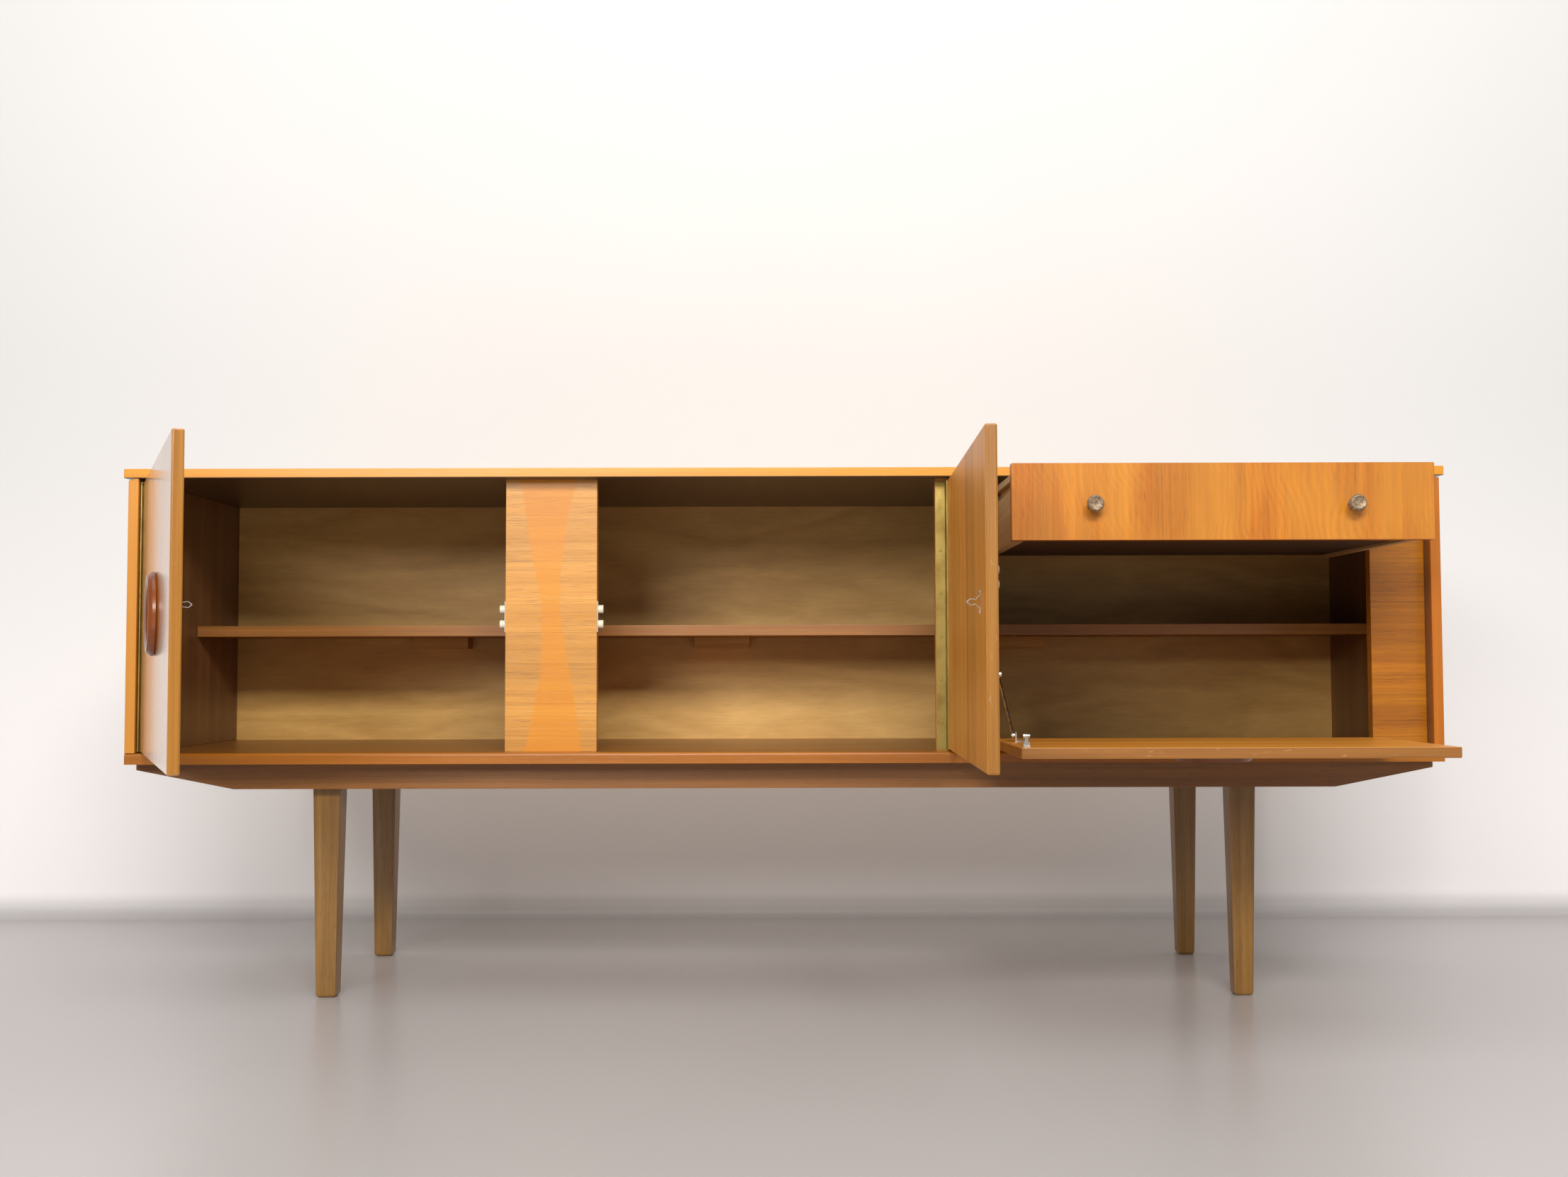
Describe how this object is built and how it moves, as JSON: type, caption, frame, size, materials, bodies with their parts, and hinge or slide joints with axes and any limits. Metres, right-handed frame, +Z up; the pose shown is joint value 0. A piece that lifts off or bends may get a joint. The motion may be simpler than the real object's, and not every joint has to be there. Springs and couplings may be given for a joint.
{
  "type": "sideboard buffet",
  "caption": "Low teak sideboard on tapered legs with hinged doors, a drop flap on a sliding stay and a drawer, all standing open.",
  "frame": {"origin": "on the floor under the middle of the part's bounding box as it stands open", "axes": "+X along the length to the right seen from the front, +Y from the front to the back, +Z up"},
  "size_m": [1.83, 0.9634, 0.74],
  "materials": {
    "teak_solid": "satin",
    "teak_edge": "satin",
    "teak_front": "satin",
    "teak_inside": "matte",
    "plywood": "matte",
    "pale_wood": "matte",
    "dark_teak": "satin",
    "leg_teak": "satin",
    "door_teak": "satin",
    "pull_teak": "satin",
    "brass": "satin",
    "bright_wire": "polished",
    "nylon": "matte",
    "pewter": "antique"
  },
  "bodies": {
    "carcass": {"top_panel": "teak_solid", "left_side": "teak_solid", "right_side": "teak_solid", "bottom_panel": "teak_edge", "centre_stile": "teak_front", "hinge_stile": "teak_front", "end_stile": "teak_front", "left_partition": "teak_inside", "right_partition": "teak_inside", "left_shelf": "teak_inside", "middle_shelf": "teak_inside", "right_shelf": "teak_inside", "back_panel": "plywood", "left_cleat": "pale_wood", "middle_cleat": "pale_wood", "right_cleat": "pale_wood", "left_runner": "pale_wood", "right_runner": "pale_wood", "runner_bearer": "pale_wood", "front_apron": "dark_teak", "rear_rail": "dark_teak", "left_cross_rail": "dark_teak", "right_cross_rail": "dark_teak", "front_left_leg": "leg_teak", "front_right_leg": "leg_teak", "rear_left_leg": "leg_teak", "rear_right_leg": "leg_teak", "left_side_leaf": "brass", "left_hinge_pin": "brass", "stile_leaf": "brass", "middle_hinge_pin": "brass", "stile_leaf_screws": "brass", "floor_leaf": "brass", "flap_hinge_pin": "brass", "stay_plate": "bright_wire", "left_catch": "nylon", "middle_catch": "nylon", "flap_catch": "nylon"},
    "left_door": {"left_door": "door_teak", "left_pull": "pull_teak", "left_strike": "bright_wire", "left_door_leaf": "brass"},
    "middle_door": {"middle_door": "door_teak", "middle_pull": "pull_teak", "middle_strike": "bright_wire", "middle_door_leaf": "brass"},
    "flap": {"flap": "door_teak", "flap_pull": "pull_teak", "flap_strike": "bright_wire", "flap_leaf": "brass", "stay_bracket": "bright_wire"},
    "stay_rod": {"stay_rod": "bright_wire"},
    "stay_eye": {"stay_eye": "bright_wire"},
    "drawer": {"drawer_front": "teak_front", "drawer_left_side": "pale_wood", "drawer_right_side": "pale_wood", "drawer_back": "pale_wood", "drawer_bottom": "pale_wood", "left_knob": "pewter", "right_knob": "pewter"}
  },
  "joints": [
    {"name": "left_door_hinge", "type": "hinge", "parent": "carcass", "child": "left_door", "pos_m": [-0.8929, 0.05469, 0.5355], "axis": [0, 0, -1], "range_deg": [-65.9, 44]},
    {"name": "middle_door_hinge", "type": "hinge", "parent": "carcass", "child": "middle_door", "pos_m": [0.2275, 0.07059, 0.5355], "axis": [0, 0, 1], "range_deg": [-88.6, 5]},
    {"name": "flap_hinge", "type": "hinge", "parent": "carcass", "child": "flap", "pos_m": [0.5565, 0.05469, 0.3486], "axis": [1, 0, 0], "range_deg": [-90, 0]},
    {"name": "drawer_slide", "type": "slide", "parent": "carcass", "child": "drawer", "axis": [0, -1, 0], "range_m": [-0.206, 0.09]},
    {"name": "stay_rod_pivot", "type": "hinge", "parent": "flap", "child": "stay_rod", "pos_m": [0.301, -0.05266, 0.3726], "axis": [1, 0, 0], "range_deg": [0, 45]},
    {"name": "stay_eye_swivel", "type": "hinge", "parent": "carcass", "child": "stay_eye", "pos_m": [0.297, 0.09231, 0.45197], "axis": [1, 0, 0], "range_deg": [-45, 0]}
  ],
  "couplings": [
    {"joint": "stay_rod_pivot", "follows": "flap_hinge", "ratio": -0.5},
    {"joint": "stay_eye_swivel", "follows": "flap_hinge", "ratio": 0.5}
  ]
}
